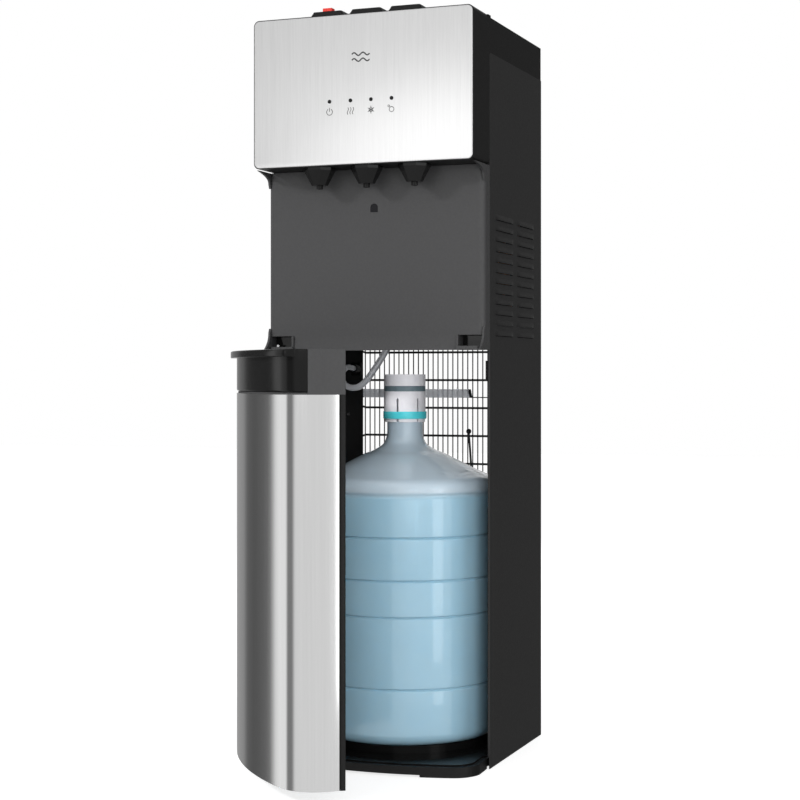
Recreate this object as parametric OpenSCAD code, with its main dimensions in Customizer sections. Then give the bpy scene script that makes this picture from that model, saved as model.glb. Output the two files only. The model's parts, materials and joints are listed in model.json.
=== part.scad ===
// Floor-standing bottom-loading water dispenser: steel cabinet, stainless front, swung-out bottle door.
// +Z is up and -Y is the front. The origin is on the floor below the middle of the side panels.

/* [Cabinet] */
// Width over the side panels
cab_w = 322; // [316:1:330]
// Depth of the side panels, front to back
cab_d = 244; // [240:1:250]
// Height of the side panels' top edge
side_top = 975; // [965:1:985]
// Height of the top cover
cover_top = 1023; // [1015:1:1024]
// Thickness of the steel sheet
sheet = 1.2; // [0.8:0.1:1.5]
// Thickness of the moulded walls
wall = 2.5; // [2:0.1:3]

/* [Head] */
// Front plane of the stainless front panel
head_front = -192.4; // [-196:0.2:-190]
// Underside of the head
head_bottom = 822; // [818:1:826]
// Top of the head
head_top = 1028; // [1026:1:1030]
// Corner radius of the head seen from the front
head_r = 8; // [4:1:12]
// Distance between neighbouring buttons
button_pitch = 57.6; // [56.4:0.1:60]
// Width of a button
button_w = 52; // [44:1:52]
// Depth of a button, front to back
button_d = 34; // [28:1:36]
// Top of the buttons
button_top = 1037.5; // [1034:0.5:1040]
// Distance between neighbouring nozzles
nozzle_pitch = 70; // [64:1:74]
// Distance of the nozzles in front of the origin
nozzle_y = -171; // [-174:1:-168]
// Lowest point of the nozzles
nozzle_tip = 793; // [788:1:796]

/* [Splash panel] */
// Front plane of the splash panel
splash_y = -144; // [-148:1:-140]
// Bottom edge of the splash panel
splash_bottom = 570.5; // [570:0.5:572]

/* [Door] */
// Width of the door
door_w = 312; // [308:1:314]
// Depth of the bowed door at its middle
door_d = 88; // [80:1:90]
// Rear plane of the closed door
door_y = -130.5; // [-132:0.5:-129]
// Bottom of the door
door_bottom = 16.5; // [16:0.5:18]
// Top of the stainless door skin
skin_top = 512; // [508:1:516]
// Top of the door
door_top = 569; // [566:0.5:569]
// Radius of the door's rounded corners
door_corner_r = 52; // [46:1:54]
// Radius of the door's bowed front
door_bow_r = 500; // [460:10:600]
// Distance of the hinge axis from the door's side and rear
hinge_inset = 6.5; // [6:0.5:8]
// Angle the door stands open
door_open = 50; // [0:1:60]

/* [Bottle] */
// Largest radius of the bottle
bottle_r = 134; // [130:1:135]
// Distance of the bottle's axis in front of the origin
bottle_y = -25; // [-27:1:-23]
// Height of the surface the bottle stands on
shelf_top = 26; // [25:0.5:28]

/* [Condenser] */
// Distance between neighbouring condenser tubes
coil_pitch = 42.6; // [40:0.2:44]
// Distance between neighbouring condenser wires
wire_pitch = 8.04; // [8:0.02:8.2]

/* [Hidden] */
half_w = cab_w / 2;
half_d = cab_d / 2;
gap = 0.4;
pivot = [-door_w / 2 + hinge_inset, door_y - hinge_inset];
pin_r = 3;
pin_bore_r = 3.05;
tray_seam = 48;
skin_rear = 6;
front_hem = 3;
tray_side = 38;
tray_floor = skin_top + 3;
well_half = door_w / 2 - tray_side;
grille_z = 562;
deck_z = 604;
button_y = -161;
tank_z = 800;
inner_w = half_w - sheet;
hose_r = 4.75;
coil_y = half_d + 18;
coil_tube_r = 1.7;
coil_wire_r = 0.9;
coil_z0 = 188;
coil_rows = 16;
coil_half = 128;
wire_half = 16;
switch_z = 900;
gland = [-95, 868];
switch_pitch = 24;
// Route of the bottle hose from its gland in the deck to its fitting on the rear flange
HOSE = [
    [-38, 19, 602],
    [-38, 19, 595],
    [-41, 19, 584],
    [-48, 19, 571],
    [-57, 19, 557],
    [-67, 19, 543],
    [-78, 19, 529],
    [-91, 19, 519],
    [-106, 21, 518],
    [-119, 27, 525],
    [-126, 37, 536],
    [-128, 49, 544],
    [-128, 62, 548],
    [-129, 77, 548],
    [-130, 92, 547]
];

// Points of an arc round c from angle a0 to a1
function arc(c, r, a0, a1, n) = [for (i = [0:n]) let (a = a0 + (a1 - a0) * i / n) c + r * [cos(a), sin(a)]];

// Points that round the corner v of the path p, v, q with radius r
function corner(p, v, q, r, n) =
    let (a = (p - v) / norm(p - v), b = (q - v) / norm(q - v), h = acos(a * b) / 2)
    let (c = v + (a + b) / norm(a + b) * r / sin(h), u = v + a * r / tan(h) - c)
    let (turn = (180 - 2 * h) * sign(cross(u, v + b * r / tan(h) - c)))
    [for (i = [0:n]) let (t = turn * i / n) c + [u.x * cos(t) - u.y * sin(t), u.x * sin(t) + u.y * cos(t)]];

// Outline through points [x, y, radius], each corner rounded by its radius
function rounded(pts, n = 6) = [for (i = [0:len(pts) - 1])
    let (k = len(pts), p = pts[(i + k - 1) % k], v = pts[i], q = pts[(i + 1) % k])
    each v[2] > 0 ? corner([p.x, p.y], [v.x, v.y], [q.x, q.y], v[2], n) : [[v.x, v.y]]];

// Outline of a rounded rectangle centred on the origin
function rect(w, d, r, n = 6) = rounded([[-w / 2, -d / 2, r], [w / 2, -d / 2, r], [w / 2, d / 2, r],
    [-w / 2, d / 2, r]], n);

// Outline of the closed door, inset by i, from depth back behind its rear plane to its bowed front, with n
// facets round each corner
function dee(i, back = 0, n = 10) =
    let (xs = door_w / 2 - door_corner_r, bow = door_d - door_bow_r)
    let (ys = bow + sqrt(pow(door_bow_r - door_corner_r, 2) - xs * xs), a = atan2(xs, ys - bow))
    let (left = arc([-xs, ys], door_corner_r - i, 180, 90 + a, n))
    let (front = arc([0, bow], door_bow_r - i, 90 + a, 90 - a, 16))
    let (right = arc([xs, ys], door_corner_r - i, 90 - a, 0, n))
    [for (p = concat([[-door_w / 2 + i, back]], left, front, right, [[door_w / 2 - i, back]])) [p.x, door_y - p.y]];

// Outline of the base, inset by i: straight sides that narrow in front, small corners and a bowed front
function base_outline(i) =
    let (bow = 450, top = bow - 209, r = 40, cx = 118, lean = 6)
    let (a = acos(cx / (bow - r)), cy = top - (bow - r) * sin(a), side = half_w - sheet - i)
    concat([[-side, half_d - sheet - i], [-side, -112], [-156 + i, -116]],
        arc([-cx, cy], r - i, 180 + lean, 180 + a, 8), arc([0, top], bow - i, 180 + a, 360 - a, 16),
        arc([cx, cy], r - i, 360 - a, 360 - lean, 8), [[156 - i, -116], [side, -112], [side, half_d - sheet - i]]);

// A point on the smooth curve through pts
function spline(pts, s) =
    let (k = len(pts) - 1, i = min(floor(s), k - 1), t = s - i)
    let (p1 = pts[i], p2 = pts[i + 1])
    let (p0 = i > 0 ? pts[i - 1] : 2 * p1 - p2, p3 = i < k - 1 ? pts[i + 2] : 2 * p2 - p1)
    0.5 * (2 * p1 + (p2 - p0) * t + (2 * p0 - 5 * p1 + 4 * p2 - p3) * t * t
        + (3 * p1 - p0 - 3 * p2 + p3) * t * t * t);

function unit(v) = v / norm(v);

// Frames [point, normal, binormal] carried along a path without twist
function frames(pts, k = 0, last = [0, 0, 1]) =
    let (t = unit(pts[min(k + 1, len(pts) - 1)] - pts[max(k - 1, 0)]))
    let (n = unit(last - (last * t) * t))
    k == len(pts) - 1 ? [[pts[k], n, cross(t, n)]] : concat([[pts[k], n, cross(t, n)]], frames(pts, k + 1, n));

// A round tube of radius r swept along a path, closed at both ends
module sweep(pts, r, sides, first = [0.1, 0.9, 0.2]) {
    f = frames(pts, 0, first);
    k = len(pts);
    ring = [for (q = f) for (j = [0:sides - 1]) q[0] + r * (cos(360 * j / sides) * q[1] + sin(360 * j / sides) * q[2])];
    walls = [for (i = [0:k - 2]) for (j = [0:sides - 1])
        [i * sides + j, (i + 1) * sides + j, (i + 1) * sides + (j + 1) % sides, i * sides + (j + 1) % sides]];
    ends = [[for (j = [0:sides - 1]) j], [for (j = [sides - 1:-1:0]) (k - 1) * sides + j]];
    polyhedron(ring, concat(walls, ends), convexity = 6);
}

// A tube bent smoothly through pts, with per rings between neighbouring points
module pipe(pts, r, sides = 8, per = 3) {
    sweep([for (i = [0:(len(pts) - 1) * per]) spline(pts, i / per)], r, sides);
}

// A solid through rings of [x, y, z] points, each ring with as many points as the last
module loft(rings) {
    n = len(rings[0]);
    k = len(rings);
    walls = [for (i = [0:k - 2]) for (j = [0:n - 1])
        [i * n + j, (i + 1) * n + j, (i + 1) * n + (j + 1) % n, i * n + (j + 1) % n]];
    ends = [[for (j = [0:n - 1]) j], [for (j = [n - 1:-1:0]) (k - 1) * n + j]];
    polyhedron([for (q = rings) each q], concat(walls, ends), convexity = 6);
}

module box(x0, x1, y0, y1, z0, z1) {
    translate([x0, y0, z0]) cube([x1 - x0, y1 - y0, z1 - z0]);
}

module slab(outline, z0, z1) {
    translate([0, 0, z0]) linear_extrude(z1 - z0) polygon(outline);
}

module tube(r, hole, z0, z1, fn = 64) {
    difference() {
        translate([0, 0, z0]) cylinder(r = r, h = z1 - z0, $fn = fn);
        translate([0, 0, z0 - 1]) cylinder(r = hole, h = z1 - z0 + 2, $fn = fn);
    }
}

// A cylinder along Y from y0 to y1
module rod_y(x, z, r, y0, y1, fn = 32) {
    translate([x, y0, z]) rotate([-90, 0, 0]) cylinder(r = r, h = y1 - y0, $fn = fn);
}

// Everything on the door, turned from closed to where it stands open
module swung() {
    translate([pivot.x, pivot.y, 0]) rotate([0, 0, -door_open]) translate([-pivot.x, -pivot.y, 0]) children();
}

// ---- Base ----

module base_pan() {
    ribs_z = 10;
    color("#161616") difference() {
        union() {
            difference() {
                slab(base_outline(0), 3, 14);
                slab(base_outline(3), 2, ribs_z);
            }
            for (x = [-100, -50, 0, 50, 100]) box(x - 1.5, x + 1.5, -190 + abs(x) / 8, half_d - 3, 3, ribs_z + 1);
            for (y = [-120, -60, 0, 60]) box(-half_w + 8, half_w - 8, y - 1.5, y + 1.5, 3, ribs_z + 1);
            box(-35, 35, -35, 35, 0, ribs_z + 1);
            intersection() {
                difference() {
                    slab(base_outline(0), 0, 5);
                    slab(base_outline(9), -1, 6);
                }
                for (s = [-1, 1]) scale([s, 1, 1]) box(88, half_w, -220, -120, 0, 5);
            }
            for (s = [-1, 1]) translate([s * 132, 96, 3]) cylinder(r = 12, h = ribs_z - 2, $fn = 48);
        }
        for (s = [-1, 1]) translate([s * 132, 96, 2]) cylinder(r = 4, h = 7, $fn = 32);
        translate([pivot.x, pivot.y, 6]) cylinder(r = pin_r, h = 12, $fn = 32);
    }
}

module levelling_feet() {
    color("#1c1c1c") for (s = [-1, 1]) translate([s * 132, 96, 0]) {
        cylinder(r = 11, h = 2.9, $fn = 40);
        cylinder(r = 3.9, h = 8.5, $fn = 32);
    }
}

// Floor of the bottle bay with the round plinth the bottle stands on
module bottle_shelf() {
    color("#101010") difference() {
        union() {
            slab(base_outline(8), 14, 16);
            translate([0, bottle_y, 0]) cylinder_z(122, 14, shelf_top, 96);
        }
        translate([0, bottle_y, shelf_top - 1.5]) tube(119, 104, 0, 3, 96);
        translate([pivot.x, pivot.y, 13]) cylinder(r = 9, h = 4, $fn = 40);
    }
}

// ---- Steel cabinet ----

// Side panel of side s, with a front hem, a turned-in rear flange and two columns of louvre slots
module side_panel(s) {
    rear_flange = 35;
    louvre_z0 = 590;
    louvre_pitch = 14.5;
    color("#262626") scale([s, 1, 1]) difference() {
        union() {
            box(half_w - sheet, half_w, -half_d, half_d, 0.5, side_top);
            box(half_w - front_hem, half_w, -half_d, -half_d + sheet, 16, side_top);
            box(half_w - rear_flange, half_w, half_d - sheet, half_d, 3, side_top);
        }
        for (row = [0:11]) for (y0 = [-96, 4])
            translate([half_w - 3, y0, louvre_z0 + row * louvre_pitch]) cube([6, 78, 3.6]);
        for (z = [476, 620, 900]) rod_y(half_w - 12, z, 2, half_d - 3, half_d + 1);
    }
}

module rear_panel() {
    color("#202020") difference() {
        union() {
            box(-half_w + 35.3, half_w - 35.3, half_d - sheet, half_d, 596, side_top);
            box(-half_w + 35.3, half_w - 35.3, half_d - 12, half_d - sheet, 596, 596 + sheet);
        }
        for (row = [0:6]) for (x0 = [-84, 14])
            translate([x0, half_d - 3, 660 + row * 14]) cube([70, 6, 4]);
        rod_y(gland.x, gland.y, 9, half_d - 3, half_d + 1, 48);
        box(-46, 46, half_d - 3, half_d + 1, switch_z - 14, switch_z + 14);
    }
}

module rear_bottom_rail() {
    color("#202020") {
        box(-half_w + 35.3, half_w - 35.3, half_d - sheet, half_d, 14, 62);
        box(-half_w + 35.3, half_w - 35.3, half_d - 8, half_d - sheet, 62 - sheet, 62);
    }
}

// Moulded lid with a raised front edge that meets the head
module top_cover() {
    color("#1b1b1b") difference() {
        union() {
            slab(rounded([[-half_w, half_d + 2, 5], [-half_w, -129, 0], [half_w, -129, 0], [half_w, half_d + 2, 5]]),
                side_top, cover_top);
            box(-half_w, half_w, -129, -118, cover_top - 1, cover_top + 3);
        }
        box(-half_w + wall, half_w - wall, -129 + wall, half_d + 2 - wall, side_top - 1, cover_top - wall);
    }
}

// ---- Head ----

// A rounded block seen from the front, from y0 to y1
module head_block(i, y0, y1) {
    w = cab_w - 2 * i;
    h = head_top - head_bottom - 2 * i;
    translate([0, y1, (head_top + head_bottom) / 2]) rotate([90, 0, 0]) linear_extrude(y1 - y0)
        polygon(rect(w, h, head_r - i / 2, 8));
}

module head_housing() {
    back = -half_d - 0.3;
    cover_front = -129.3;
    color("#141414") difference() {
        head_block(0, head_front + 1.4, back);
        head_block(wall, head_front + 1.4 + wall, back + 1);
        box(-half_w - 1, half_w + 1, cover_front, back + 1, side_top - 0.3, head_top + 1);
        for (i = [-1:1]) translate([i * button_pitch, button_y, 0])
            slab(rect(button_w + 2 * gap, button_d + 2 * gap, 4), head_top - wall - 1, head_top + 1);
        for (i = [-1:1]) translate([i * nozzle_pitch, nozzle_y, head_bottom - 1])
            cylinder(r = 8.05, h = wall + 2, $fn = 48);
        for (x = [-46, -15, 15, 45]) rod_y(x, 909.6, 2.7, head_front, head_front + 1.4 + wall + 1);
    }
}

module head_front_panel() {
    color("#cfcfcf") difference() {
        head_block(1, head_front, head_front + 1.4);
        for (x = [-46, -15, 15, 45]) rod_y(x, 909.6, 2.7, head_front - 1, head_front + 2);
    }
}

module indicator_lenses() {
    color("#080808") for (x = [-46, -15, 15, 45]) {
        rod_y(x, 909.6, 2.65, head_front - 0.4, head_front + 5);
        rod_y(x, 909.6, 3.6, head_front + 1.4 + wall, head_front + 5);
    }
}

module control_board() {
    y0 = head_front + 8;
    color("#0f5b34") {
        box(-80, 80, y0, y0 + 1.6, 880, 940);
        box(-60, -40, y0 + 1.6, y0 + 9, 920, 934);
        box(-10, 14, y0 + 1.6, y0 + 6, 918, 932);
        for (x = [-46, -15, 15, 45]) box(x - 2, x + 2, y0 - 3, y0, 907.6, 911.6);
        for (s = [-1, 1]) for (z = [886, 934]) rod_y(s * 74, z, 3, head_front + 1.4 + wall, y0);
    }
}

// Plate under the buttons that guides their stems
module button_guide() {
    z0 = 998;
    color("#1a1a1a") difference() {
        union() {
            box(-half_w + wall, half_w - wall, button_y - 20, button_y + 20, z0, z0 + 3);
            for (i = [-1:1]) translate([i * button_pitch, button_y, z0 - 6]) cylinder(r = 8, h = 7, $fn = 48);
        }
        for (i = [-1:1]) translate([i * button_pitch, button_y, z0 - 7]) cylinder(r = 4.05, h = 12, $fn = 48);
    }
}

module push_button(i) {
    translate([i * button_pitch, button_y, 0]) {
        slab(rect(button_w, button_d, 4), head_top - wall - 0.5, head_top + 0.5);
        loft([for (k = [0, 1]) [for (p = rect(button_w - 10 * k, button_d - 8 * k, 4 - k))
            [p.x, p.y, k ? button_top : head_top + 0.4]]]);
        slab(rect(button_w + 4, button_d + 4, 4), head_top - wall - 2.8, head_top - wall - 0.3);
        translate([0, 0, 988]) cylinder(r = 4, h = head_top - wall - 2.8 - 988, $fn = 48);
    }
}

// Slot and chamber that hold the child lock in the hot button
module hot_button() {
    x = -button_pitch;
    color("#191919") difference() {
        push_button(-1);
        box(x - 4, x + 4, button_y - 9.6, button_y + 0.6, 1030, button_top + 1);
        box(x - 7.4, x + 7.4, button_y - 10.4, button_y + 3.4, 1028.5, 1033);
    }
}

module room_button() {
    color("#191919") push_button(0);
}

module cold_button() {
    color("#191919") push_button(1);
}

module spring(i) {
    r = 6.6;
    turns = 5;
    z0 = 1001.6;
    z1 = head_top - wall - 2.8 - 0.6;
    pts = [for (k = [0:turns * 14]) let (a = 360 * k / 14)
        [r * cos(a), r * sin(a), z0 + (z1 - z0) * k / (turns * 14)]];
    color("#b8b8b8") translate([i * button_pitch, button_y, 0]) sweep(pts, 0.5, 6, [0, 0.1, 1]);
}

module child_lock() {
    x = -button_pitch;
    color("#d62a20") {
        box(x - 6.75, x + 6.75, button_y - 12.4, button_y - 2.4, button_top + 0.3, button_top + 4.5);
        box(x - 3.6, x + 3.6, button_y - 9.2, button_y - 3.8, 1031.5, button_top + 0.4);
        box(x - 7, x + 7, button_y - 10, button_y - 2.2, 1029, 1032.5);
    }
}

// Funnel under the head: an eight-sided hood with a round outlet tube through it
module nozzle(i) {
    top = [20.5, 19];
    low = [10, 10];
    z1 = nozzle_tip + 5;
    hood = [for (q = [[low, z1], [top * 0.98, head_bottom - 4], [top, head_bottom]])
        let (w = q[0].x, d = q[0].y, c = 0.45) [for (p = [[w, -d * c], [w, d * c], [w * c, d], [-w * c, d],
            [-w, d * c], [-w, -d * c], [-w * c, -d], [w * c, -d]]) [p.x, p.y, q[1]]]];
    color("#0c0c0c") translate([i * nozzle_pitch, nozzle_y, 0]) difference() {
        union() {
            loft(hood);
            translate([0, 0, nozzle_tip]) cylinder(r = 4.5, h = 8, $fn = 40);
            translate([0, 0, head_bottom - 1]) cylinder(r = 8, h = 15, $fn = 48);
        }
        translate([0, 0, nozzle_tip - 1]) cylinder(r = 3, h = 60, $fn = 32);
    }
}

// ---- Splash panel ----

// How far forward the splash panel's face stands at height z
function splash_front(z) = z < 594 ? splash_y - 2 * pow((594 - z) / (594 - splash_bottom), 2) : splash_y;

module splash_shell(i) {
    back = -half_d - 0.6 + i * 2;
    levels = concat([for (k = [0:6]) splash_bottom - i + k * (594 - splash_bottom) / 6], [head_bottom - 0.3 + i / 5]);
    loft([for (z = levels) [for (p = rounded([[-half_w + i, back, 0], [-half_w + i, splash_front(z) + i, 9 - i],
        [half_w - i, splash_front(z) + i, 9 - i], [half_w - i, back, 0]])) [p.x, p.y, z]]]);
}

// Wing that curves forward along the panel's side, above to the head's front edge and a little at its foot
module splash_wing() {
    above = [for (k = [0:8]) let (z = 806 + 15.7 * k / 8) [splash_y - 1.5 - 37 * pow(k / 8, 2.6), z]];
    below = [for (k = [0:8]) let (z = 596 - (596 - splash_bottom) * k / 8) [splash_y - 1.5 - 17 * pow(k / 8, 2.2), z]];
    rotate([90, 0, 90]) linear_extrude(3) {
        polygon(concat([[splash_y + 5, 800], [splash_y + 1, 800]], above, [[splash_y + 5, head_bottom - 0.3]]));
        polygon(concat([[splash_y + 5, 602], [splash_y + 1, 602]], below, [[splash_y + 5, splash_bottom]]));
    }
}

module splash_panel() {
    color("#4e4e4e") difference() {
        union() {
            difference() {
                splash_shell(0);
                splash_shell(wall);
            }
            translate([half_w - 3.2, 0, 0]) splash_wing();
            translate([-half_w + 0.2, 0, 0]) splash_wing();
        }
        for (s = [-1, 1]) scale([s, 1, 1]) box(120.7, half_w - 3.4, -170, -half_d, 560, 591);
        rod_y(0, 768, 5.5, splash_y - 1, splash_y + 5, 48);
        box(-5.5, 5.5, splash_y - 1, splash_y + 5, 761.6, 768);
    }
}

module night_light_lens() {
    color("#202a30") {
        rod_y(0, 768, 5.3, splash_y + 0.3, splash_y + 4, 48);
        box(-5.3, 5.3, splash_y + 0.3, splash_y + 4, 761.8, 768);
        box(-9, 9, splash_y + wall, splash_y + 4, 759, 777);
    }
}

// Recessed corner fittings under the splash panel; the left one carries the door's upper pin
module hinge_pockets() {
    color("#0e0e0e") for (s = [-1, 1]) scale([s, 1, 1]) difference() {
        union() {
            slab(rounded([[121, -half_d - 1, 0], [121, -152, 2], [half_w - 3.8, -152, 8],
                [half_w - 3.8, -half_d - 1, 0]]), splash_bottom, 576);
            box(121, half_w - 3.8, -half_d - 4, -half_d - 1, 576, 590.6);
            box(121, 124, -147, -half_d - 4, 576, 590.6);
        }
        translate([-pivot.x, pivot.y, 569]) cylinder(r = pin_r, h = 20, $fn = 32);
    }
}

module hinge_pins() {
    color("#c8c8c8") {
        translate([pivot.x, pivot.y, 6]) cylinder(r = pin_r, h = 22, $fn = 32);
        translate([pivot.x, pivot.y, 556]) cylinder(r = pin_r, h = 23, $fn = 32);
    }
}

// ---- Works above the bottle bay ----

module deck() {
    color("#8c8f92") difference() {
        union() {
            box(-inner_w + gap, inner_w - gap, -half_d + 2, half_d - 2, deck_z, deck_z + sheet);
            box(-inner_w + gap, inner_w - gap, -half_d + 2, -half_d + 2 + sheet, deck_z - 8, deck_z);
        }
        translate([HOSE[0].x, HOSE[0].y, deck_z - 1]) cylinder(r = 8, h = 4, $fn = 40);
        for (x = [0, 100]) for (y = [-10, 70]) translate([x, y, deck_z - 1]) cylinder(r = 5, h = 4, $fn = 32);
    }
}

module compressor() {
    r = 58;
    body = concat([[0, 618]], [for (a = [-80:16:0]) [r - 14 + 14 * cos(a), 632 + 14 * sin(a)]],
        [for (a = [0:10:90]) [r * cos(a), 700 + 38 * sin(a)]]);
    color("#111111") {
        translate([50, 30, 0]) rotate_extrude($fn = 64) polygon(body);
        difference() {
            translate([50, 30, 0]) slab(rect(124, 104, 10), 614, 618);
            for (x = [0, 100]) for (y = [-10, 70]) translate([x, y, 610]) cylinder(r = 4, h = 12, $fn = 32);
        }
        translate([50, 30, 0]) box(-20, 20, -72, -54, 640, 680);
    }
}

module compressor_grommets() {
    color("#242424") for (x = [0, 100]) for (y = [-10, 70]) translate([x, y, 0]) {
        cylinder_z(8, deck_z + sheet, 614);
        cylinder_z(4, deck_z - 3, 622);
        cylinder_z(7, 618, 620.5);
    }
}

module cylinder_z(r, z0, z1, fn = 40) {
    translate([0, 0, z0]) cylinder(r = r, h = z1 - z0, $fn = fn);
}

module cold_tank() {
    color("#c9ccce") translate([75, 10, 0]) {
        cylinder_z(52, tank_z, tank_z + 150, 64);
        cylinder_z(6, tank_z + 150, tank_z + 158);
    }
}

module tank_insulation() {
    color("#e6e6e2") difference() {
        translate([75, 10, 0]) slab(rect(132, 132, 10), tank_z - 12, tank_z + 150);
        translate([75, 10, tank_z]) cylinder(r = 52.2, h = 160, $fn = 64);
    }
}

module hot_tank() {
    color("#c4c6c8") translate([-80, 20, 0]) {
        cylinder_z(50, tank_z, tank_z + 120, 64);
        cylinder_z(6, tank_z + 120, tank_z + 132);
        cylinder_z(9, tank_z - 14, tank_z);
        for (a = [20, 200]) rotate([0, 0, a]) box(48, 60, -8, 8, tank_z + 50, tank_z + 70);
    }
}

module pump() {
    color("#2e3338") translate([-90, 20, 0]) {
        cylinder_z(24, 640, 700, 48);
        cylinder_z(30, 622, 640, 48);
        slab(rect(80, 70, 6), deck_z + sheet, 622);
    }
}

module water_lines() {
    color("#d8dde0") {
        pipe([[HOSE[0].x, HOSE[0].y, deck_z + 6], [-38, 19, 626], [-40, 14, 648], [-52, 4, 660], [-66, 4, 660]], 4, 8, 3);
        pipe([[-90, 20, 701], [-90, 20, 725], [-98, 20, 745], [-80, 20, 765], [-80, 20, tank_z - 15]], 4, 8, 3);
        pipe([[-80, 20, tank_z + 133], [-80, 8, 950], [-76, -60, 958], [-72, -130, 930], [-70, -165, 880],
            [-70, nozzle_y, 850], [-70, nozzle_y, 837]], 4, 8, 3);
        pipe([[75, 10, tank_z + 159], [75, -10, 976], [74, -70, 972], [72, -130, 935], [70, -165, 880],
            [70, nozzle_y, 850], [70, nozzle_y, 837]], 4, 8, 3);
        pipe([[-62, 34, 660], [-32, 40, 690], [-16, 40, 740], [-7, 34, 790], [-7, 20, 900], [-4, -60, 955],
            [0, -130, 925], [0, -165, 880], [0, nozzle_y, 850], [0, nozzle_y, 837]], 4, 8, 3);
    }
}

module refrigerant_lines() {
    color("#b06a3c") {
        pipe([[112, 30, 670], [132, 34, 690], [148, 40, 730], [148, 50, 770], [147, 60, tank_z + 40]], 3, 8, 3);
        pipe([[112, 50, 650], [128, 70, 640], [140, 100, 632], [143, 112, 630], [143, half_d - 3, 630]], 2.4, 8, 3);
    }
}

module filter_drier() {
    color("#a8653a") translate([110, 100, 660]) {
        cylinder_z(9, 0, 70, 40);
        cylinder_z(3, -14, 84, 24);
    }
}

// ---- Condenser on the back ----

function coil_z(k) = coil_z0 + k * coil_pitch;

// Serpentine tube: level runs joined by half-round bends
module condenser_tube() {
    r = coil_pitch / 2;
    path = [for (k = [0:coil_rows - 1]) let (s = k % 2 ? -1 : 1)
        each concat([[-s * coil_half, coil_y, coil_z(k)]],
            k == coil_rows - 1 ? [[s * coil_half, coil_y, coil_z(k)]] :
            [for (a = [-90:30:60]) [s * (coil_half + r * cos(a)), coil_y, coil_z(k) + r + r * sin(a)]])];
    color("#1d1d1d") sweep(path, coil_tube_r, 8, [0, 1, 0]);
}

module condenser_wires() {
    color("#1d1d1d") for (k = [-wire_half:wire_half])
        translate([k * wire_pitch, coil_y - coil_tube_r - coil_wire_r, coil_z0 - 8])
            cylinder(r = coil_wire_r, h = (coil_rows - 1) * coil_pitch + 16, $fn = 16);
}

module condenser_brackets() {
    front = coil_y - coil_tube_r - 2 * coil_wire_r - 0.01;
    edge = wire_half * wire_pitch;
    color("#1d1d1d") for (s = [-1, 1]) for (row = [1, 4, 14]) let (z = coil_z(row) + 10) scale([s, 1, 1]) {
        box(edge + 2, edge + 14, half_d, front, z, z + 3);
        box(edge - 9, edge + 14, front - 1, front, z - 8, z + 12);
    }
}

// Clear strap across the open back
module tie_strap() {
    color("#d9dcdf", 0.6) {
        box(-126, 48, half_d + 3, half_d + 3.8, 502, 515);
        box(-136, -126, half_d, half_d + 3.8, 502, 515);
    }
}

module process_tube() {
    color("#161616") {
        pipe([[45, 128, 449], [46, 128, 436], [47.5, 128, 418], [48.7, 128, 399], [49, 130, 380], [49, 134, 366]],
            1.75, 8, 2);
        translate([45, 128, 451]) sphere(r = 4, $fn = 24);
    }
}

module switch_plate() {
    color("#151515") difference() {
        union() {
            box(-52, 52, half_d, half_d + 1.6, switch_z - 19, switch_z + 19);
            box(-45.8, 45.8, half_d - 14, half_d, switch_z - 13.8, switch_z + 13.8);
        }
        for (i = [-1:1]) box(i * switch_pitch - 7, i * switch_pitch + 7, half_d - 15, half_d + 2,
            switch_z - 11, switch_z + 11);
        for (i = [-1:1]) translate([i * switch_pitch - 9, half_d - 6, switch_z]) rotate([0, 90, 0])
            cylinder(r = 1.55, h = 18, $fn = 24);
    }
}

// Rocker that tips about a pin across its middle
module rocker(i) {
    tilt = 8;
    face = [for (a = [-60:10:60]) [9.6 * sin(a) * 1.05, 7.2 * cos(a) + 2]];
    translate([i * switch_pitch, half_d - 6, switch_z]) rotate([tilt, 0, 0]) {
        translate([-6.6, 0, 0]) rotate([0, 90, 0]) linear_extrude(13.2)
            polygon(concat([[4, -3], [8.5, 2.5]], [for (k = [10:-1:2]) face[k]], [[-8.5, 2.5], [-4, -3]]));
        translate([-8.6, 0, 0]) rotate([0, 90, 0]) cylinder(r = 1.5, h = 17.2, $fn = 24);
    }
}

module cord_gland() {
    color("#121212") difference() {
        union() {
            rod_y(gland.x, gland.y, 8.9, half_d - 8, half_d + 1, 48);
            rod_y(gland.x, gland.y, 13, half_d, half_d + 4, 48);
            rod_y(gland.x, gland.y, 11, half_d - 9, half_d - sheet, 48);
        }
        rod_y(gland.x, gland.y, 4, half_d - 10, half_d + 5, 32);
    }
}

module panel_screws() {
    color("#d0d0d0") for (s = [-1, 1]) for (z = [476, 620, 900]) {
        rod_y(s * (half_w - 12), z, 1.95, half_d - 6, half_d + 1);
        rod_y(s * (half_w - 12), z, 3.6, half_d, half_d + 2.4);
    }
}

// Spring-loaded door catch on the right, below the splash panel
module magnet_catch() {
    color("#2b2b2b") difference() {
        box(half_w - sheet - 4, half_w - sheet, -half_d - 3, -half_d + 9, 528, 556);
        box(half_w - front_hem, half_w, -half_d - 4, -half_d + sheet, 527, 557);
    }
}

// ---- Bottle hose ----

module hose_gland() {
    color("#e8e8e8") translate([HOSE[0].x, HOSE[0].y, 0]) difference() {
        union() {
            cylinder_z(7.9, deck_z - 2, deck_z + 6);
            cylinder_z(11, deck_z - 2, deck_z);
            cylinder_z(11, deck_z + sheet, deck_z + 3);
        }
        cylinder_z(3.5, deck_z - 3, deck_z + 7);
    }
}

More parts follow.
